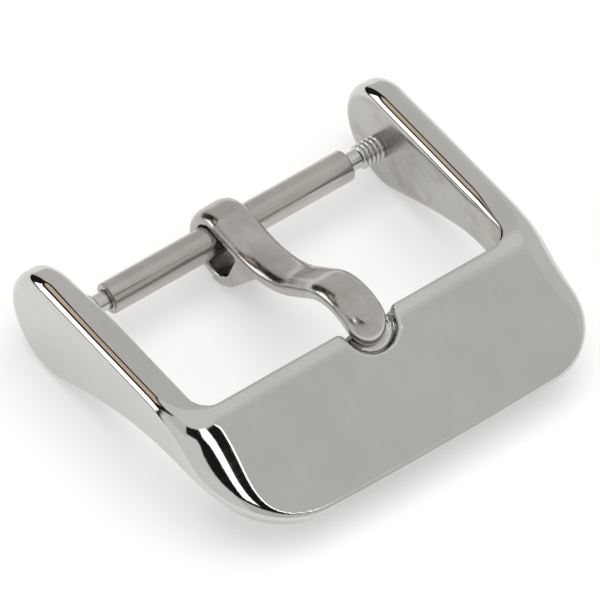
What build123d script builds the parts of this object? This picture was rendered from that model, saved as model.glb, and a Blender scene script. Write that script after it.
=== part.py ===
from build123d import *
import os
from math import asin, cos, radians, sin, tan

# Tang buckle for a 20 mm watch strap, closed on a double-flanged spring bar.
# +X runs along the bar, -Y towards the front plate, +Z up. The origin is the middle of the bar's axis.

# ---- driving dimensions, mm ----
strap_width = 20.0          # clear width between the arms
arm_thickness = 1.85
arm_top = 3.45              # flat top of the arms above the bar's axis
ear_radius = 3.25           # rounded ear round each end of the bar
window_front = 11.35        # bar's axis to the front edge of the strap window
window_corner = 1.1
fold_land = 0.35            # level strip between the window and the sloping plate
fold_round = 1.0            # soft fold between that strip and the plate
plate_slope = 32.5          # degrees below level
plate_length = 7.63         # down the slope
plate_thickness = 1.4
left_corner = 5.0           # lower corners of the plate, the left one polished rounder
right_corner = 3.6
plate_bow = 0.25            # how far the lower edge bows out
edge_round = 0.4            # polished edges of the arms, ears and plate

notch_offset = 0.6          # the notch sits a little to the right of the middle
notch_width = 3.0
notch_reach = 2.05          # window edge to the end of the notch, down the slope
notch_depth = 0.6

tang_width = 2.34
tang_thickness = 0.82
tang_length = 12.55         # bar's axis to the tip
tang_edge = 0.35
shank_dip = (4.45, 0.67)    # middle of the strip where it turns up, forward of and above the bar's axis
shank_crest = (9.74, 4.44)  # middle of the strip where it turns down towards the notch
shank_end = (13.4, 2.33)     # the strip runs on to here before its tip is rounded
dip_bend = 2.0
crest_bend = 1.4
eye_radius = 2.2            # outside of the curl
eye_centre = (0.25, -0.5)   # the curl hangs a little below the bar's axis
eye_bore = 1.02             # bearing end of the bore, round the bar's axis
eye_sag = 1.2               # lower end of the bore
curl_slit = 0.12            # gap between the curl's end and the shank

bar_radius = 0.9
bar_length = 15.6           # barrel of the spring bar
barrel_bore = 0.66
barrel_round = 0.16
crimp_bore = 0.56
crimp_length = 0.3
head_radius = 0.62
head_length = 0.8
head_play = 0.4             # head to crimp while the bar is held between the ears
neck_radius = 0.53
neck_length = 0.78          # bare neck between the barrel and the collar
collar_radius = 0.70
ring_count = 5
ring_depth = 0.09
tip_radius = 0.40
tip_length = 0.72
ear_hole_radius = 0.45
ear_hole_depth = 0.80
end_gap = 0.02              # collar's face to the inside of the ear

wire_radius = 0.11
coil_radius = 0.49
coil_turns = 20
coil_gap = 0.01             # coil's end to a plunger's head

# ---- derived ----
half_inner = strap_width / 2
half_outer = half_inner + arm_thickness
slope = radians(plate_slope)
fold = window_front + fold_land
plate_front = fold + plate_length * cos(slope)
plate_low = arm_top - plate_length * sin(slope)
ear_centre = arm_top - ear_radius
barrel_end = bar_length / 2
collar_start = barrel_end + neck_length
collar_end = half_inner - end_gap
tip_end = collar_end + tip_length
head_end = barrel_end - crimp_length - head_play
head_start = head_end - head_length
yaw = asin(notch_offset / tang_length)
strip = [
    (eye_centre[0], eye_centre[1] + eye_radius - tang_thickness / 2),
    shank_dip,
    shank_crest,
    shank_end,
]

# side view: local x runs forward from the bar's axis, local y runs up
side = Plane(origin=(0, 0, 0), x_dir=(0, -1, 0), z_dir=(-1, 0, 0))
# the same, turned by the tang's small swing towards the notch
tang_side = Plane(origin=(0, 0, 0), x_dir=(sin(yaw), -cos(yaw), 0), z_dir=(-cos(yaw), -sin(yaw), 0))
tang_plan = Plane(origin=(0, 0, 0), x_dir=(cos(yaw), sin(yaw), 0), z_dir=(0, 0, 1))
# the sloping face: local x runs left across it, local y down the slope, the normal up and out
face = Plane(origin=(0, -fold, arm_top), x_dir=(-1, 0, 0), z_dir=(0, -sin(slope), cos(slope)))


def under_plate(forward):
    """Height of the plate's underside at a distance forward of the bar's axis."""
    return arm_top - plate_thickness / cos(slope) - (forward - fold) * tan(slope)


def square_to_bar(edge):
    """True for an edge that lies in a plane square to the bar."""
    return edge.bounding_box().size.X < 0.01


def near(value, target):
    return abs(value - target) < 0.01


def on_tang_side(edge):
    """True for an edge that lies in one of the tang's two side faces."""
    return near(abs(tang_side.to_local_coords(edge.center()).Z), tang_width / 2)


def above_strip(edge):
    """True for an edge of the shank that lies above the middle of its strip."""
    point = tang_side.to_local_coords(edge.center())
    for (start, low), (stop, high) in zip(strip, strip[1:]):
        if max(start, 1) < point.X <= stop:
            return point.Y > low + (high - low) * (point.X - start) / (stop - start)
    return False


# ---- buckle frame ----
web_end = 14.6                                  # where the side web runs out on the plate's underside
arch = (12.2, 0.36)                             # where the side web is highest underneath
toe = (plate_front - plate_thickness * sin(slope), plate_low - plate_thickness * cos(slope))
ear_exit = radians(25)                          # where the ear's round turns into the arm's underside
ear_bottom = (ear_radius * sin(ear_exit), ear_centre - ear_radius * cos(ear_exit))
beyond = 4                                      # how far cutting shapes pass the solid

with BuildPart() as buckle_frame:
    with BuildSketch(side):
        with BuildLine():
            Line((0, arm_top), (fold, arm_top))
            Line((fold, arm_top), (plate_front, plate_low))
            Line((plate_front, plate_low), toe)
            Line(toe, (web_end, under_plate(web_end)))
            Spline(
                (web_end, under_plate(web_end)),
                arch,
                ear_bottom,
                tangents=[(-cos(slope), sin(slope)), (-1, -0.02), (-cos(ear_exit), -sin(ear_exit))],
            )
            ThreePointArc(ear_bottom, (-ear_radius, ear_centre), (0, arm_top))
        make_face()
    extrude(amount=half_outer, both=True)
    # room between the arms and under the plate
    with BuildSketch(side):
        with BuildLine():
            Polyline(
                (-2 * beyond, 2 * beyond),
                (window_front, 2 * beyond),
                (window_front, under_plate(window_front)),
                (plate_front + beyond, under_plate(plate_front + beyond)),
                (plate_front + beyond, -2 * beyond),
                (-2 * beyond, -2 * beyond),
                (-2 * beyond, 2 * beyond),
            )
        make_face()
    extrude(amount=half_inner, both=True, mode=Mode.SUBTRACT)
    # outline of the plate's lower end: rounded corners and a slightly bowed edge
    with BuildSketch(face):
        with BuildLine():
            Polyline(
                (-half_outer, plate_length - plate_bow),
                (-half_outer, -30),
                (half_outer, -30),
                (half_outer, plate_length - plate_bow),
            )
            ThreePointArc(
                (half_outer, plate_length - plate_bow),
                (0, plate_length),
                (-half_outer, plate_length - plate_bow),
            )
        make_face()
        fillet(vertices().filter_by(lambda v: v.Y > 0).sort_by(Axis.X)[0], right_corner)
        fillet(vertices().filter_by(lambda v: v.Y > 0).sort_by(Axis.X)[-1], left_corner)
    extrude(amount=30, both=True, mode=Mode.INTERSECT)
    # window corners, then the soft fold
    uprights = buckle_frame.edges().filter_by(Axis.Z)
    fillet(uprights.filter_by(lambda e: near(e.center().Y, -window_front)), window_corner)
    creases = buckle_frame.edges().filter_by(Axis.X)
    fillet(creases.filter_by(lambda e: near(e.center().Y, -fold)), fold_round)
    # polished edges of the ears, arms and webs
    rims = buckle_frame.edges().filter_by(lambda e: square_to_bar(e) and e.center().Y > -14)
    fillet(rims.filter_by(lambda e: near(abs(e.center().X), half_outer) or e.center().Y > -11), edge_round)
    # notch for the tang's tip
    with BuildSketch(face.offset(-notch_depth)):
        with Locations((-notch_offset, notch_reach - fold_land - notch_width / 2)):
            Circle(notch_width / 2)
        with Locations((-notch_offset, notch_reach - fold_land - notch_width / 2 - beyond / 2)):
            Rectangle(notch_width, beyond)
    extrude(amount=beyond, mode=Mode.SUBTRACT)
    # blind holes that take the bar's tips
    for end in (-1, 1):
        with BuildSketch(Plane(origin=(end * half_inner, 0, 0), z_dir=(end, 0, 0))):
            Circle(ear_hole_radius)
        extrude(amount=ear_hole_depth, mode=Mode.SUBTRACT)

# ---- tang: a bent strip whose rear end is curled round the bar ----
with BuildPart() as tang:
    with BuildSketch(tang_side):
        with BuildLine():
            FilletPolyline(*strip, radius=[dip_bend, crest_bend])
        trace(line_width=tang_thickness)
        with BuildSketch(mode=Mode.PRIVATE) as curl:
            with Locations(eye_centre):
                Circle(eye_radius)
            with Locations((3.75, 0.55)):
                Circle(0.1)
            make_hull()
        add(curl.sketch)
        with BuildSketch(mode=Mode.PRIVATE) as bore:
            Circle(eye_bore)
            with Locations((0.4, -0.8)):
                Circle(eye_sag)
            with Locations((1.95, 0.45)):
                Circle(0.15)
            make_hull()
        add(bore.sketch, mode=Mode.SUBTRACT)
        # the curl's end stays a hair's breadth under the shank
        with Locations((3.2, 0.38)):
            Rectangle(2.6, curl_slit, rotation=-8.4, mode=Mode.SUBTRACT)
    extrude(amount=tang_width / 2, both=True)
    # round tip
    with BuildSketch(tang_plan.offset(-2 * beyond)):
        with Locations((0, tang_width / 2 - tang_length)):
            Circle(tang_width / 2)
        with Locations((0, (beyond - tang_length + tang_width / 2) / 2)):
            Rectangle(tang_width, tang_length - tang_width / 2 + beyond)
    extrude(amount=4 * beyond, mode=Mode.INTERSECT)
    # rounded upper edges of the shank, from the curl to the tip
    crown = tang.edges().filter_by(lambda e: on_tang_side(e) and above_strip(e))
    fillet(crown, tang_edge)

# ---- spring bar ----
with BuildPart() as bar_tube:
    with BuildSketch():
        with Locations((0, bar_radius / 2)):
            Rectangle(bar_length, bar_radius)
        fillet(vertices().group_by(Axis.Y)[-1], barrel_round)
        with Locations((0, barrel_bore / 2)):
            Rectangle(bar_length - 2 * crimp_length, barrel_bore, mode=Mode.SUBTRACT)
        with Locations((0, crimp_bore / 2)):
            Rectangle(2 * bar_length, crimp_bore, mode=Mode.SUBTRACT)
    revolve(axis=Axis.X)


def plunger(end):
    """Sprung end of the bar: head, neck, ribbed collar and tip, on the side that end (-1 or 1) says."""
    pitch = (collar_end - collar_start) / ring_count
    profile = [(head_start, 0), (head_start, head_radius), (head_end, head_radius)]
    profile += [(head_end, neck_radius), (collar_start, neck_radius)]
    for ring in range(ring_count):
        start = collar_start + ring * pitch
        profile += [
            (start, collar_radius - ring_depth),
            (start + 0.25 * pitch, collar_radius),
            (start + 0.75 * pitch, collar_radius),
            (start + pitch, collar_radius - ring_depth),
        ]
    profile += [(collar_end, tip_radius), (tip_end, tip_radius), (tip_end, 0), (head_start, 0)]
    corners = []
    for x, radius in profile:
        if not corners or corners[-1] != (end * x, radius):
            corners.append((end * x, radius))
    with BuildPart() as made:
        with BuildSketch():
            with BuildLine():
                Polyline(*corners)
            make_face()
        revolve(axis=Axis.X)
    return made


left_plunger = plunger(-1)
right_plunger = plunger(1)

coil_length = 2 * (head_start - coil_gap - wire_radius)
with BuildPart() as bar_spring:
    with BuildLine():
        turns = Helix(
            pitch=coil_length / coil_turns,
            height=coil_length,
            radius=coil_radius,
            center=(-coil_length / 2, 0, 0),
            direction=(1, 0, 0),
        )
    with BuildSketch(Plane(origin=turns @ 0, z_dir=turns % 0)):
        Circle(wire_radius)
    sweep(is_frenet=True)

# ---- one STEP for each piece ----
os.makedirs("parts", exist_ok=True)
pieces = {
    "buckle_frame": buckle_frame,
    "tang": tang,
    "bar_tube": bar_tube,
    "left_plunger": left_plunger,
    "right_plunger": right_plunger,
    "bar_spring": bar_spring,
}
for name, piece in pieces.items():
    piece.part.label = name
    export_step(piece.part, f"parts/{name}.step")
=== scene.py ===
"""Looks of a watch-strap buckle: polished frame, satin tang and sprung bar, in a plain pale studio."""
import math

import bmesh
import bpy
import numpy as np
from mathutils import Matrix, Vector
from mathutils.geometry import convex_hull_2d


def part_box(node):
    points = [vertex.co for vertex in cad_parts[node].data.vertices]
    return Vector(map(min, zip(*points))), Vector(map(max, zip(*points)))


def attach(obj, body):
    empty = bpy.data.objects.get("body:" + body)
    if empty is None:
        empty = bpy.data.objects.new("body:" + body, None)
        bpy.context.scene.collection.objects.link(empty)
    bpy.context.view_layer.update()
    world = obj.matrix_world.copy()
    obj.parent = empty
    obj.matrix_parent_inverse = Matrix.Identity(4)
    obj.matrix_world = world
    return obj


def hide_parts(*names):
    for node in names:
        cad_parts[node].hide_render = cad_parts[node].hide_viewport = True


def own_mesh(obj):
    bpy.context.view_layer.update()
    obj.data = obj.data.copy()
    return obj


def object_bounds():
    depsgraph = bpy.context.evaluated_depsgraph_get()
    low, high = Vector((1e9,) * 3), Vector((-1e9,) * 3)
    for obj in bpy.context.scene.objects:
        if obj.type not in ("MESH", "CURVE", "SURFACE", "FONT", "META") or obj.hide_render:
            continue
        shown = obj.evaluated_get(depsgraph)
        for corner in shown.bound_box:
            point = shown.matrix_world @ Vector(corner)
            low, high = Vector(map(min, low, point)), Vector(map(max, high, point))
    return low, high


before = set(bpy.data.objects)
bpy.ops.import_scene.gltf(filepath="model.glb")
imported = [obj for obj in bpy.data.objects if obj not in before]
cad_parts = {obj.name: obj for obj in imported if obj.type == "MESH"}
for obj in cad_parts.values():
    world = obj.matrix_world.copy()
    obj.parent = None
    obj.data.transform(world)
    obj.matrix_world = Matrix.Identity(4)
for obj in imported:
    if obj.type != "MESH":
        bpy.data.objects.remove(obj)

cad_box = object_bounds()
MM = 0.001

# ---- sizes in millimetres, in the shared frame: x along the bar, y back, z up, the bar's axis at 0 ----
# The fields below use f, the distance forward of the bar's axis, so f = -y.
frame_low, frame_high = (np.array(corner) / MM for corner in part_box("buckle_frame"))
tang_low, tang_high = (np.array(corner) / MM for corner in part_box("tang"))
tube_high = np.array(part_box("bar_tube")[1]) / MM
arm_thickness = 1.9
half_outer = frame_high[0]
half_inner = half_outer - arm_thickness
arm_top = frame_high[2]
ear_radius = frame_high[1]
ear_centre = arm_top - ear_radius
slope = math.radians(32.5)
fold = 11.7
plate_length = 7.63
plate_thickness = 1.4
plate_bow = 0.25
left_corner, right_corner = 5.4, 3.6
window_front = 11.35


# ---- signed distances: negative inside ----
def cut_edge(a, b, radius):
    """Where both a and b are inside, with the edge between them rounded."""
    u, v = a + radius, b + radius
    return np.minimum(np.maximum(u, v), 0) + np.hypot(np.maximum(u, 0), np.maximum(v, 0)) - radius


def soft_edge(top, side, high, wide):
    """Where both are inside, with an elliptical edge: wide in from the side, high down from the top."""
    return cut_edge(top / high, side / wide, 1) * high


def join(a, b, blend):
    """Where a or b is inside, with a soft fillet between them."""
    h = np.maximum(blend - np.abs(a - b), 0) / blend
    return np.minimum(a, b) - h * h * blend / 4


def soft_max(a, b, blend):
    """Where a and b are both inside, with a soft edge between them."""
    return -join(-a, -b, blend)


def ramp(value, start, stop):
    """0 before start, 1 after stop, smooth between."""
    t = np.clip((value - start) / (stop - start), 0, 1)
    return t * t * (3 - 2 * t)


def outline_distance(outline, u, v):
    """Signed distance to a closed outline, a list of points."""
    points = np.array(outline, float)
    shape = u.shape
    u, v = u.ravel(), v.ravel()
    best = np.full(u.shape, np.inf)
    inside = np.zeros(u.shape, bool)
    for (u0, v0), (u1, v1) in zip(points, np.roll(points, -1, axis=0)):
        du, dv = u1 - u0, v1 - v0
        t = np.clip(((u - u0) * du + (v - v0) * dv) / (du * du + dv * dv), 0, 1)
        best = np.minimum(best, (u - u0 - t * du) ** 2 + (v - v0 - t * dv) ** 2)
        crosses = (v0 > v) != (v1 > v)
        with np.errstate(divide="ignore", invalid="ignore"):
            inside ^= crosses & (u < (v - v0) * du / dv + u0)
    return (np.where(inside, -1, 1) * np.sqrt(best)).reshape(shape)


def arc(centre, radius, start, stop, count):
    """Points round a circle, angles in degrees."""
    return [
        (centre[0] + radius * math.cos(math.radians(a)), centre[1] + radius * math.sin(math.radians(a)))
        for a in np.linspace(start, stop, count)
    ]


def curve(start, leave, arrive, stop, count):
    """Points along a Bezier curve between two points, by its two handles."""
    t = np.linspace(0, 1, count)[:, None]
    p = [np.array(q, float) for q in (start, leave, arrive, stop)]
    line = (1 - t) ** 3 * p[0] + 3 * t * (1 - t) ** 2 * p[1] + 3 * t * t * (1 - t) * p[2] + t ** 3 * p[3]
    return [tuple(q) for q in line]


def hull(*rounds):
    """Outline of the tight band round several circles (centre, radius)."""
    points = [q for centre, radius in rounds for q in arc(centre, radius, 0, 354, 60)]
    return [points[i] for i in convex_hull_2d([Vector(q) for q in points])]


# ---- meshes ----
def new_piece(name, vertices, faces, mend_normals=False):
    """A smooth-shaded object in the scene, from vertices in metres."""
    mesh = bpy.data.meshes.new(name)
    mesh.from_pydata(vertices, [], faces)
    if mend_normals:
        work = bmesh.new()
        work.from_mesh(mesh)
        bmesh.ops.recalc_face_normals(work, faces=work.faces)
        work.to_mesh(mesh)
        work.free()
    mesh.polygons.foreach_set("use_smooth", [True] * len(mesh.polygons))
    mesh.update()
    piece = bpy.data.objects.new(name, mesh)
    bpy.context.scene.collection.objects.link(piece)
    return piece


def field_mesh(name, field, low, high, step):
    """Meshes field(x, y, z) = 0, in millimetres, by surface nets, then pulls each point onto the surface."""
    axes = [np.arange(low[i] - 2 * step, high[i] + 3 * step, step) for i in range(3)]
    values = field(*np.meshgrid(*axes, indexing="ij"))
    solid = values < 0
    cells = np.zeros(np.array(values.shape) - 1, int)
    corners = [(i, j, k) for i in (0, 1) for j in (0, 1) for k in (0, 1)]
    for i, j, k in corners:
        cells += solid[i : i + cells.shape[0], j : j + cells.shape[1], k : k + cells.shape[2]]
    active = (cells > 0) & (cells < 8)
    number = np.full(cells.shape, -1)
    number[active] = np.arange(active.sum())
    where = np.argwhere(active)
    # mean of the points where the cell's edges cross the surface
    total, count = np.zeros((len(where), 3)), np.zeros(len(where))
    for a in corners:
        for axis in range(3):
            if a[axis]:
                continue
            b = tuple(a[n] + (n == axis) for n in range(3))
            va = values[tuple((where + a).T)]
            vb = values[tuple((where + b).T)]
            hit = (va < 0) != (vb < 0)
            t = np.where(hit, va / np.where(hit, va - vb, 1), 0)
            point = where + np.array(a) + t[:, None] * (np.array(b) - np.array(a))
            total += point * hit[:, None]
            count += hit
    points = total / count[:, None] * step + [axis[0] for axis in axes]
    nudge, least_slope, pulls = 0.02, 0.05, 3
    for _ in range(pulls):
        here = field(*points.T)
        slopes = np.stack(
            [
                (field(*(points + nudge * unit).T) - field(*(points - nudge * unit).T)) / (2 * nudge)
                for unit in np.eye(3)
            ],
            axis=1,
        )
        size = np.maximum((slopes ** 2).sum(1), least_slope)
        points -= np.clip(here / size, -step, step)[:, None] * slopes
    faces = []
    for axis in range(3):
        p, q = (axis + 1) % 3, (axis + 2) % 3
        a = np.take(solid, range(solid.shape[axis] - 1), axis)
        b = np.take(solid, range(1, solid.shape[axis]), axis)
        edges = np.argwhere(a != b)
        inside_first = a[tuple(edges.T)]
        ring = []
        for dp, dq in ((-1, -1), (0, -1), (0, 0), (-1, 0)):
            cell = edges.copy()
            cell[:, p] += dp
            cell[:, q] += dq
            ring.append(number[tuple(cell.T)])
        quad = np.stack(ring, axis=1)
        faces.append(np.where(inside_first[:, None], quad, quad[:, ::-1]))
    return new_piece(name, (points * MM).tolist(), np.concatenate(faces).tolist())


# ---- buckle frame ----
def face_plane(f, z):
    """Distance down the slope from the fold, and height above the sloping face."""
    down = (f - fold) * math.cos(slope) - (z - arm_top) * math.sin(slope)
    above = (f - fold) * math.sin(slope) + (z - arm_top) * math.cos(slope)
    return down, above


def under_plate(f):
    return arm_top - plate_thickness / math.cos(slope) - (f - fold) * math.tan(slope)


# the side outline: over the top, round the ear to where the arm leaves it, along the arch, up to the plate
ear_exit = 25
ear_round = arc((0, ear_centre), ear_radius, 90, 270 + ear_exit, 70)
arch = (12.2, 0.36)
web_end = 14.6
past_end = 20.0
side_outline = (
    [(fold, arm_top), (0, arm_top)]
    + ear_round[1:]
    + curve(ear_round[-1], (4.6, -1.2), (7.6, arch[1]), arch, 30)[1:]
    + curve(arch, (13.0, arch[1]), (13.9, under_plate(13.9)), (web_end, under_plate(web_end)), 10)[1:]
    + [(past_end, under_plate(past_end)), (past_end, arm_top - (past_end - fold) * math.tan(slope))]
)
notch_x = 0.6
notch_radius = 1.5
notch_reach = 2.05
notch_end = notch_reach - (fold - window_front)
notch_depth = 0.6
notch_floor_edge = 0.3
notch_rim, mouth_rim = 0.16, 0.3
top_blend = 0.5
middle_blend = 2
window_edge, room_corner = 0.25, 1.1
inner_edge, worn_edge = 0.2, 0.5
bar_hole_radius, bar_hole_depth, bar_hole_edge = 0.45, 0.8, 0.05
# The outer rim's rounding, down from the top and in from the side: what the arms have, what is added at
# the ears and beside the plate, and what is taken off again along the plate's foot, with more of the last
# two on the left side.
rim_high = {"arm": 0.75, "ear": 0.1, "beside": 0.35, "beside_left": 0.35, "foot": 0.82, "foot_left": 0.35}
rim_wide = {"arm": 0.75, "ear": 0.1, "beside": 0.75, "beside_left": 0.95, "foot": 1.22, "foot_left": 0.95}


def rim_size(size, ear, beside, at_foot, left):
    """The rim's rounding, where each of the last four says from 0 to 1 how far its stretch applies."""
    more = (size["beside"] + size["beside_left"] * left) * beside
    less = (size["foot"] + size["foot_left"] * left) * at_foot
    return size["arm"] + size["ear"] * ear + more - less


def frame_field(x, y, z):
    f = -y
    down, above = face_plane(f, z)
    side = np.abs(x) - half_outer
    if x.ndim == 3:
        profile = outline_distance(side_outline, f[0], z[0])[None]
    else:
        profile = outline_distance(side_outline, f, z)
    top = soft_max(z - arm_top, above, top_blend)
    left = ramp(-x, -middle_blend, middle_blend)
    end = down - (plate_length - plate_bow * (x / half_outer) ** 2)
    foot = cut_edge(side, end, left * left_corner + (1 - left) * right_corner)
    beside = ramp(f, 9.2, 13.0)
    at_foot = ramp(down, 2.0, 7.2)
    ear = ramp(-f, -4, 1)
    high = rim_size(rim_high, ear, beside, at_foot, left)
    wide = rim_size(rim_wide, ear, beside, at_foot, left)
    profile_round = 0.7 + 0.05 * ear - 0.4 * at_foot
    body = cut_edge(profile, foot, profile_round)
    body = np.maximum(body, soft_edge(top, foot, high, wide))
    # room between the arms, ahead to the window's edge, and below the plate
    slab = cut_edge(window_front - f, -(above + plate_thickness), window_edge)
    room = cut_edge(np.abs(x) - half_inner, -slab, room_corner)
    # the inner edge is rounder at both ears and along the right arm
    on_right_arm = ramp(x, -middle_blend, middle_blend) * (1 - ramp(f, 7.5, 10.8))
    inner_round = inner_edge + worn_edge * np.maximum(ear, on_right_arm)
    body = cut_edge(body, -room, inner_round)
    # notch with a rolled rim
    along = np.maximum(down - (notch_end - notch_radius), 0)
    notch = cut_edge(np.hypot(x - notch_x, along) - notch_radius, -(above + notch_depth), notch_floor_edge)
    rim = notch_rim + mouth_rim * (1 - ramp(down, -0.5, 0.7))
    body = cut_edge(body, -notch, rim)
    hole = cut_edge(np.hypot(f, z) - bar_hole_radius, np.abs(x) - half_inner - bar_hole_depth, bar_hole_edge)
    return cut_edge(body, -hole, bar_hole_edge)


# ---- tang ----
tang_width = 2.34
tang_thickness = 0.82
tang_length = 12.55
yaw = math.asin(notch_x / tang_length)
shank_dip, shank_crest, shank_end = (4.45, 0.47), (9.74, 4.66), (13.4, 2.33)
shank_start = (0.25, 1.29)
dip_bend, crest_bend = 5.6, 2.8
curl_centre, curl_radius = (0.25, -0.5), 2.2
curl_fillet = 0.12
tang_edge, bore_edge = 0.12, 0.1
dome_high, dome_wide = 0.42, 0.8


def bend(before, corner, after, radius, count=14):
    """Points of the arc that rounds a corner of a path."""
    a, c, b = (np.array(p, float) for p in (before, corner, after))
    into, out = (c - a) / np.linalg.norm(c - a), (b - c) / np.linalg.norm(b - c)
    turn = math.acos(float(into @ out))
    reach = radius * math.tan(turn / 2)
    start, stop = c - into * reach, c + out * reach
    side = np.array((-into[1], into[0])) * (1 if into[0] * out[1] > into[1] * out[0] else -1)
    centre = start + side * radius
    first = math.atan2(*(start - centre)[::-1])
    last = math.atan2(*(stop - centre)[::-1])
    turns = np.linspace(first, last, count)
    return [tuple(centre + radius * np.array((math.cos(t), math.sin(t)))) for t in turns]


shank = (
    [shank_start]
    + bend(shank_start, shank_dip, shank_crest, dip_bend)
    + bend(shank_dip, shank_crest, shank_end, crest_bend)
    + [shank_end]
)
curl_outline = hull((curl_centre, curl_radius), ((3.75, 0.55), 0.1))
bore_outline = hull(((0, 0), 1.02), ((0.4, -0.8), 1.2), ((1.95, 0.45), 0.15))


def path_offset(path, u, v):
    """Distance to an open path and the signed side of it, positive above."""
    best = np.full(u.shape, np.inf)
    signed = np.zeros(u.shape)
    for (u0, v0), (u1, v1) in zip(path, path[1:]):
        du, dv = u1 - u0, v1 - v0
        t = np.clip(((u - u0) * du + (v - v0) * dv) / (du * du + dv * dv), 0, 1)
        distance = np.hypot(u - u0 - t * du, v - v0 - t * dv)
        above = du * (v - v0) - dv * (u - u0)
        closer = distance < best
        best = np.where(closer, distance, best)
        signed = np.where(closer, np.where(above > 0, distance, -distance), signed)
    return best, signed


def tang_field(x, y, z):
    across = x * math.cos(yaw) + y * math.sin(yaw)
    f = x * math.sin(yaw) - y * math.cos(yaw)
    best, signed = path_offset(shank, f, z)
    strip = best - tang_thickness / 2
    curl = outline_distance(curl_outline, f, z)
    body = join(strip, curl, curl_fillet)
    bore = outline_distance(bore_outline, f, z)
    tip = np.hypot(across, np.maximum(f - (tang_length - tang_width / 2), 0)) - tang_width / 2
    # broad rounding over the top, small below
    over_curl = np.hypot(f - curl_centre[0], z - curl_centre[1]) - curl_radius
    crown = np.where(f > curl_centre[0], signed - tang_thickness / 2, over_curl)
    body = cut_edge(body, tip, tang_edge)
    body = np.maximum(body, soft_edge(crown, tip, dome_high, dome_wide))
    return cut_edge(body, -bore, bore_edge)


frame_step, tang_step = 0.12, 0.08
buckle = field_mesh("buckle_frame_polished", frame_field, frame_low, frame_high, frame_step)
prong = field_mesh("tang_satin", tang_field, tang_low, tang_high, tang_step)


# ---- strap bar: tube and plungers, turned about the x axis ----
def corner(before, point, after, radius, count=5):
    """Points that round one corner of a profile."""
    a, p, b = (np.array(q, float) for q in (before, point, after))
    into, out = (a - p) / np.linalg.norm(a - p), (b - p) / np.linalg.norm(b - p)
    t = np.linspace(0, 1, count)[:, None]
    start, stop = p + into * radius, p + out * radius
    return [tuple(q) for q in (1 - t) ** 2 * start + 2 * t * (1 - t) * p + t * t * stop]


def rounded(profile, closed):
    """A profile of (x, r, rounding) points with its corners rounded."""
    points = []
    count = len(profile)
    for i, (x, r, rounding) in enumerate(profile):
        if rounding and (closed or 0 < i < count - 1):
            points += corner(profile[i - 1][:2], (x, r), profile[(i + 1) % count][:2], rounding)
        else:
            points.append((x, r))
    return points


sharp_angle = math.radians(38)


def turned(name, profile, closed=False, segments=128):
    """A solid of revolution about the x axis from a profile in millimetres."""
    points = rounded(profile, closed)
    vertices, faces, rings = [], [], []
    for x, r in points:
        if r == 0:
            rings.append([len(vertices)] * segments)
            vertices.append((x, 0, 0))
            continue
        rings.append(list(range(len(vertices), len(vertices) + segments)))
        for k in range(segments):
            turn = 2 * math.pi * k / segments
            vertices.append((x, r * math.cos(turn), r * math.sin(turn)))
    pairs = list(zip(rings, rings[1:])) + ([(rings[-1], rings[0])] if closed else [])
    for one, two in pairs:
        for k in range(segments):
            n = (k + 1) % segments
            face = [one[k], one[n], two[n], two[k]]
            face = [v for i, v in enumerate(face) if v != face[i - 1]]
            if len(face) > 2:
                faces.append(face)
    piece = new_piece(name, [tuple(MM * c for c in v) for v in vertices], faces, mend_normals=True)
    piece.data.set_sharp_from_angle(angle=sharp_angle)
    return piece


half_bar = tube_high[0]
bar_radius = tube_high[2]
end_radius, bore_radius, mouth_radius = 0.80, 0.66, 0.56
end_bevel, crimp_end, bore_start = 0.08, 0.3, 0.42
tube_profile = [
    (-half_bar, mouth_radius, 0.05), (-half_bar, end_radius, 0.04), (-half_bar + end_bevel, bar_radius, 0.05),
    (half_bar - end_bevel, bar_radius, 0.05), (half_bar, end_radius, 0.04), (half_bar, mouth_radius, 0.05),
    (half_bar - crimp_end, mouth_radius, 0.03), (half_bar - bore_start, bore_radius, 0.03),
    (-half_bar + bore_start, bore_radius, 0.03), (-half_bar + crimp_end, mouth_radius, 0.03),
]
tube = turned("bar_tube_satin", tube_profile, closed=True)


head_start, head_end, head_radius = 6.3, 7.1, 0.62
neck_start, neck_end, neck_radius = 7.14, 8.54, 0.53
collar_start, groove_radius, ring_radius = 8.58, 0.61, 0.70
rings, ring_pitch, ring_start, ring_end = 5, 0.28, 0.07, 0.21
tip_radius, tip_end_radius, tip_bevel_start, tip_end = 0.40, 0.30, 0.64, 0.72


def plunger_profile(side):
    """Head inside the tube, neck, ringed collar and tip, outward from the middle."""
    outline = [(head_start, 0, 0), (head_start, head_radius, 0.08), (head_end, head_radius, 0.05)]
    outline += [(neck_start, neck_radius, 0), (neck_end, neck_radius, 0.02)]
    for i in range(rings):
        start = collar_start + i * ring_pitch
        outline += [(start, groove_radius, 0.02)]
        outline += [(start + ring_start, ring_radius, 0.03), (start + ring_end, ring_radius, 0.03)]
    end = collar_start + rings * ring_pitch
    outline += [(end, head_radius, 0.03), (end + 0.01, tip_radius, 0.01)]
    outline += [(end + tip_bevel_start, tip_radius, 0.05), (end + tip_end, tip_end_radius, 0.04)]
    outline += [(end + tip_end, 0, 0)]
    return [(side * x, r, rounding) for x, r, rounding in outline]


left_plunger = turned("left_plunger_turned", plunger_profile(-1))
right_plunger = turned("right_plunger_turned", plunger_profile(1))


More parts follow.
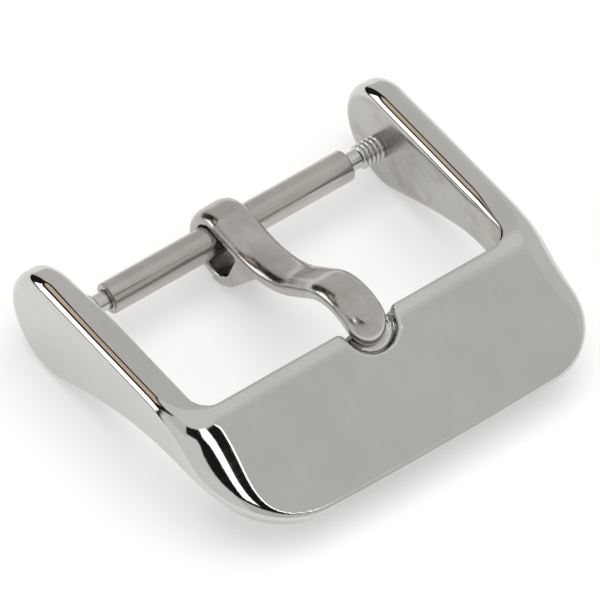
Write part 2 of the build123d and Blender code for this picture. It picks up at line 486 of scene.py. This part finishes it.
def coil(name, start, stop, radius, wire_radius, turns, steps=28, around=12):
    """Half of the bar's spring, a wire wound about the x axis from start to stop."""
    vertices, faces = [], []
    pitch = (stop - start) / (2 * math.pi * turns)
    count = turns * steps + 1
    for i in range(count):
        turn = 2 * math.pi * i / steps
        middle = Vector((start + pitch * turn, radius * math.cos(turn), radius * math.sin(turn)))
        outward = Vector((0, math.cos(turn), math.sin(turn)))
        along = Vector((pitch, -radius * math.sin(turn), radius * math.cos(turn))).normalized()
        across = along.cross(outward)
        for k in range(around):
            a = 2 * math.pi * k / around
            vertices.append(MM * (middle + wire_radius * (math.cos(a) * outward + math.sin(a) * across)))
    for i in range(count - 1):
        for k in range(around):
            n = (k + 1) % around
            faces.append([i * around + k, i * around + n, (i + 1) * around + n, (i + 1) * around + k])
    faces += [list(range(around))[::-1], [(count - 1) * around + k for k in range(around)]]
    return new_piece(name, vertices, faces, mend_normals=True)


# the spring in two halves, one wound out to each plunger
spring_gap = 0.02
spring_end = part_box("bar_spring")[1].x / MM - spring_gap
coil_radius, wire_radius, coil_turns = 0.49, 0.11, 10
half_start = 0.01
spring_halves = []
for side, joint, name in (
    (-1, "left_plunger_press", "left_half_spring"),
    (1, "right_plunger_press", "right_half_spring"),
):
    half_end = spring_end - wire_radius
    half = coil(name, side * half_start, side * half_end, coil_radius, wire_radius, coil_turns)
    spring_halves.append((half, joint))


# ---- materials ----
def node(tree, kind, inputs=None, **settings):
    made = tree.nodes.new(kind)
    for key, value in settings.items():
        setattr(made, key, value)
    for key, value in (inputs or {}).items():
        if isinstance(value, bpy.types.NodeSocket):
            tree.links.new(value, made.inputs[key])
        else:
            made.inputs[key].default_value = value
    return made


def noise(tree, place, scale, stretch=(1, 1, 1), detail=3, turn=(0, 0, 0)):
    """Noise in object space; scale is in features per metre."""
    moved = node(tree, "ShaderNodeMapping", {"Vector": place, "Scale": stretch, "Rotation": turn})
    made = node(
        tree,
        "ShaderNodeTexNoise",
        {"Vector": moved.outputs[0], "Scale": scale, "Detail": detail, "Roughness": 0.6},
    )
    return made.outputs[0]


def mapped(tree, value, low, high, to_low, to_high):
    return node(
        tree,
        "ShaderNodeMapRange",
        {"Value": value, "From Min": low, "From Max": high, "To Min": to_low, "To Max": to_high},
        interpolation_type="SMOOTHSTEP",
    ).outputs["Result"]


def calculate(tree, operation, *values):
    return node(tree, "ShaderNodeMath", dict(enumerate(values)), operation=operation).outputs[0]


def mixed(tree, factor, low, high):
    """Colour low where factor is 0 and high where it is 1; each is a colour or a socket."""
    mix = node(tree, "ShaderNodeMix", data_type="RGBA")
    tree.links.new(factor, mix.inputs[0])
    for place, colour in ((6, low), (7, high)):
        if isinstance(colour, bpy.types.NodeSocket):
            tree.links.new(colour, mix.inputs[place])
        else:
            mix.inputs[place].default_value = (*colour, 1)
    return mix.outputs[2]


def bumped(tree, height, distance, below=None):
    inputs = {"Height": height, "Distance": distance, "Strength": 1.0}
    if below is not None:
        inputs["Normal"] = below
    return node(tree, "ShaderNodeBump", inputs).outputs["Normal"]


tone_scale, shade_and_stain_scale, grit_scale = 260, 420, 4200
grit_depth = 0.000006
# painted shade: the darkened grey and brown colours for the arms' inner walls and the plate's underside; the
# roughness added there is their rougher finish
painted_shade_grey, painted_shade_brown = (0.47, 0.46, 0.44), (0.40, 0.37, 0.33)
dull_roughness = 0.2


def steel(name, colour, dark, rough, grain, bumps, shade_and_satin=None):
    """Bare steel. rough is (least, most); grain is the noise that moves it; bumps are (noise, depth) pairs.

    The last argument, if given, makes a mask of the places the polishing wheel didn't reach, the arms' inner
    walls and the plate's underside: they are rougher and grainy, and their colour is darkened to a mottled
    grey-brown as painted shade."""
    material = bpy.data.materials.new(name)
    material.use_nodes = True
    tree = material.node_tree
    tree.nodes.clear()
    place = node(tree, "ShaderNodeTexCoord").outputs["Object"]
    tone = noise(tree, place, tone_scale, detail=4)
    base = mixed(tree, mapped(tree, tone, 0.35, 0.7, 0.0, 1.0), dark, colour)
    roughness = mapped(tree, grain(tree, place), 0.3, 0.7, rough[0], rough[1])
    normal = None
    for make, depth in bumps:
        normal = bumped(tree, make(tree, place), depth, normal)
    if shade_and_satin is not None:
        # painted shade on the masked walls and underside: the colour is darkened to a mottled grey-brown; the
        # roughness and grit added there are the rougher finish
        mask = shade_and_satin(tree, place)
        shade_and_stain = mapped(tree, noise(tree, place, shade_and_stain_scale, detail=4), 0.45, 0.68, 0.0, 1.0)
        base = mixed(tree, mask, base, mixed(tree, shade_and_stain, painted_shade_grey, painted_shade_brown))
        roughness = calculate(tree, "ADD", roughness, calculate(tree, "MULTIPLY", mask, dull_roughness))
        grit = calculate(tree, "MULTIPLY", mask, noise(tree, place, grit_scale, detail=4))
        normal = bumped(tree, grit, grit_depth, normal)
    shader = node(
        tree,
        "ShaderNodeBsdfPrincipled",
        {"Base Color": base, "Metallic": 1.0, "Roughness": roughness, "Normal": normal},
    )
    output = node(tree, "ShaderNodeOutputMaterial")
    tree.links.new(shader.outputs[0], output.inputs["Surface"])
    return material


under_level = 9.4


# mask for the rougher finish and the painted shade on the arms' inner walls and the plate's underside
def unpolished_and_shaded(tree, place):
    """1 on the arms' inside walls and under the plate, up to a level measured along the plate's slope."""
    x, y, z = node(tree, "ShaderNodeSeparateXYZ", {0: place}).outputs
    aside = calculate(tree, "ABSOLUTE", x)
    beside = mapped(tree, aside, (half_inner + 0.02) * MM, (half_inner + 0.12) * MM, 1, 0)
    behind = mapped(tree, y, -(window_front - 0.25) * MM, -(window_front - 0.75) * MM, 0, 1)
    slant = calculate(tree, "MULTIPLY", y, math.tan(slope))
    level = calculate(tree, "SUBTRACT", z, slant)
    under = mapped(tree, level, (under_level - 0.1) * MM, (under_level + 0.1) * MM, 1, 0)
    return calculate(tree, "MULTIPLY", beside, calculate(tree, "MAXIMUM", behind, under))


polished = steel(
    "polished_steel",
    (0.61, 0.605, 0.59),
    (0.585, 0.58, 0.565),
    (0.03, 0.075),
    lambda t, p: noise(t, p, 900, (1, 6, 6), 4, (0.4, 0.2, 0.6)),
    [
        (lambda t, p: noise(t, p, 330, detail=2), 0.0000012),
        (lambda t, p: noise(t, p, 2500, (1, 9, 9), 2, (0.3, 0.5, 0.5)), 0.0000001),
    ],
    # rougher finish and painted shade on the inner walls and underside
    unpolished_and_shaded,
)
satin = steel(
    "satin_steel",
    (0.54, 0.525, 0.50),
    (0.42, 0.40, 0.375),
    (0.15, 0.26),
    lambda t, p: noise(t, p, 2600, detail=5),
    [
        (lambda t, p: noise(t, p, 700, detail=2), 0.000005),
        (lambda t, p: noise(t, p, 6500, detail=4), 0.000003),
    ],
)
barrel = steel(
    "barrel_steel",
    (0.53, 0.505, 0.475),
    (0.47, 0.445, 0.415),
    (0.16, 0.27),
    lambda t, p: noise(t, p, 1500, (0.6, 5, 5), 4),
    [(lambda t, p: noise(t, p, 4200, (0.12, 1, 1), 3), 0.0000025)],
)
turned_steel = steel(
    "plunger_steel",
    (0.66, 0.655, 0.645),
    (0.58, 0.57, 0.555),
    (0.12, 0.20),
    lambda t, p: noise(t, p, 3000, (6, 1, 1), 3),
    [(lambda t, p: noise(t, p, 9000, (5, 0.3, 0.3), 2), 0.000001)],
)
wire = steel(
    "spring_wire",
    (0.55, 0.54, 0.52),
    (0.45, 0.44, 0.42),
    (0.25, 0.35),
    lambda t, p: noise(t, p, 4000, detail=3),
    [(lambda t, p: noise(t, p, 9000, detail=2), 0.000002)],
)

for piece, material, body, cad_node, slot in (
    (buckle, polished, "frame", "buckle_frame", "polished_steel"),
    (prong, satin, "tang", "tang", "satin_steel"),
    (tube, barrel, "bar", "bar_tube", "barrel_steel"),
    (left_plunger, turned_steel, "left_plunger", "left_plunger", "plunger_steel"),
    (right_plunger, turned_steel, "right_plunger", "right_plunger", "plunger_steel"),
):
    piece.data.materials.append(material)
    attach(piece, body)
    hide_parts(cad_node)
for half, joint in spring_halves:
    half.data.materials.append(wire)
    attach(half, "bar")
    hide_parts("bar_spring")
    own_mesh(half)

# ---- floor ----
floor_half = 0.6
floor_mesh = bpy.data.meshes.new("floor")
work = bmesh.new()
bmesh.ops.create_grid(work, x_segments=8, y_segments=8, size=floor_half)
work.to_mesh(floor_mesh)
work.free()
floor = bpy.data.objects.new("floor", floor_mesh)
floor.location = (0, 0, cad_box[0].z)
bpy.context.scene.collection.objects.link(floor)
paper = bpy.data.materials.new("pale_card")
paper.use_nodes = True
paper_shader = paper.node_tree.nodes["Principled BSDF"]
paper_shader.inputs["Base Color"].default_value = (0.5, 0.5, 0.497, 1)
paper_shader.inputs["Emission Color"].default_value = (1, 1, 0.995, 1)
paper_shader.inputs["Emission Strength"].default_value = 0.42
paper_shader.inputs["Roughness"].default_value = 0.8
paper_shader.inputs["Specular IOR Level"].default_value = 0.1
floor_mesh.materials.append(paper)

# ---- light: a pale room with a dark side, a softbox and cards in it, and one wide light over the floor ----
world = bpy.data.worlds.new("studio")
bpy.context.scene.world = world
world.use_nodes = True
sky = world.node_tree
sky.nodes.clear()
toward = node(sky, "ShaderNodeSeparateXYZ", {0: node(sky, "ShaderNodeTexCoord").outputs["Generated"]})
east, north, up = toward.outputs
elevation = calculate(sky, "DEGREES", calculate(sky, "ARCSINE", up))
azimuth = calculate(sky, "DEGREES", calculate(sky, "ARCTAN2", east, calculate(sky, "MULTIPLY", north, -1.0)))


def panel(colour_below, colour, azimuths, elevations, soft):
    """A rectangle of the sky, in degrees: azimuth 0 is in front of the buckle and 90 to its right."""
    centre = sum(azimuths) / 2
    turn = calculate(sky, "WRAP", calculate(sky, "SUBTRACT", azimuth, centre), 180, -180)
    away = calculate(sky, "ABSOLUTE", turn)
    half = (azimuths[1] - azimuths[0]) / 2
    across = mapped(sky, away, half - soft, half + soft, 1.0, 0.0)
    middle = sum(elevations) / 2
    high = calculate(sky, "ABSOLUTE", calculate(sky, "SUBTRACT", elevation, middle))
    tall = (elevations[1] - elevations[0]) / 2
    along = mapped(sky, high, tall - soft, tall + soft, 1.0, 0.0)
    mask = calculate(sky, "MULTIPLY", across, along)
    return mixed(sky, mask, colour_below, colour)


black, white = (0.015, 0.014, 0.013), (2.4, 2.4, 2.35)
light = (0.69, 0.68, 0.66)
for colour, azimuths, elevations, soft in (
    ((0.84, 0.835, 0.82), (-180, 180.1), (62, 118), 3),  # ceiling
    ((0.755, 0.745, 0.725), (48, 128), (-20, 62), 4),  # wall on the right
    (black, (-183, -46), (-8, 61), 1.2),  # dark left side
    (black, (-60, 30), (44, 61), 1.2),  # dark strip high in front
    ((0.87, 0.865, 0.85), (-109, -40), (-8, 45), 1.5),  # pale card on the left
    ((0.74, 0.735, 0.72), (-112, -62), (38, 64), 2),  # greyer card above it
    ((0.75, 0.62, 0.47), (-164, -128), (44, 57), 1.5),  # tan card at the left rear
    (white, (-150, -113), (6, 32), 1.5),  # softbox at the left rear
    (white, (-22, 0), (50, 62), 1.2),  # softbox high in front
    (white, (30, 33.5), (46, 60), 0.8),  # narrow strip light on the right
):
    light = panel(light, colour, azimuths, elevations, soft)
seen = node(sky, "ShaderNodeBackground", {"Color": (0.9, 0.9, 0.895, 1)})
lit = node(sky, "ShaderNodeBackground", {"Color": light})
which = node(sky, "ShaderNodeMixShader")
sky.links.new(node(sky, "ShaderNodeLightPath").outputs["Is Camera Ray"], which.inputs[0])
sky.links.new(lit.outputs[0], which.inputs[1])
sky.links.new(seen.outputs[0], which.inputs[2])
sky.links.new(which.outputs[0], node(sky, "ShaderNodeOutputWorld").inputs["Surface"])

lamp = bpy.data.lights.new("overhead", "AREA")
lamp.shape = "SQUARE"
lamp.size = 0.5
lamp.energy = 1.6
overhead = bpy.data.objects.new("overhead", lamp)
overhead.location = (0.05, -0.05, 0.45)
overhead.visible_glossy = False
bpy.context.scene.collection.objects.link(overhead)

# ---- camera ----
view_azimuth, view_elevation = math.radians(-36.45), math.radians(49.88)
back = Vector(
    (
        math.sin(view_azimuth) * math.cos(view_elevation),
        -math.cos(view_azimuth) * math.cos(view_elevation),
        math.sin(view_elevation),
    )
)
right = Vector((math.cos(view_azimuth), math.sin(view_azimuth), 0))
upward = back.cross(right)
shift_left, shift_up = 0.888, 0.70
target = Vector((0, -8, 1)) * MM - shift_left * MM * right + shift_up * MM * upward
camera_distance = 1.0
camera = bpy.data.objects.new("camera", bpy.data.cameras.new("camera"))
camera.data.lens = 1149.0 * camera_distance
camera.data.clip_start = 0.005
camera.data.clip_end = 5
camera.location = target + back * camera_distance
camera.rotation_mode = "QUATERNION"
camera.rotation_quaternion = (-back).to_track_quat("-Z", "Y")
bpy.context.scene.collection.objects.link(camera)
bpy.context.scene.camera = camera
bpy.context.scene.view_settings.view_transform = "Standard"
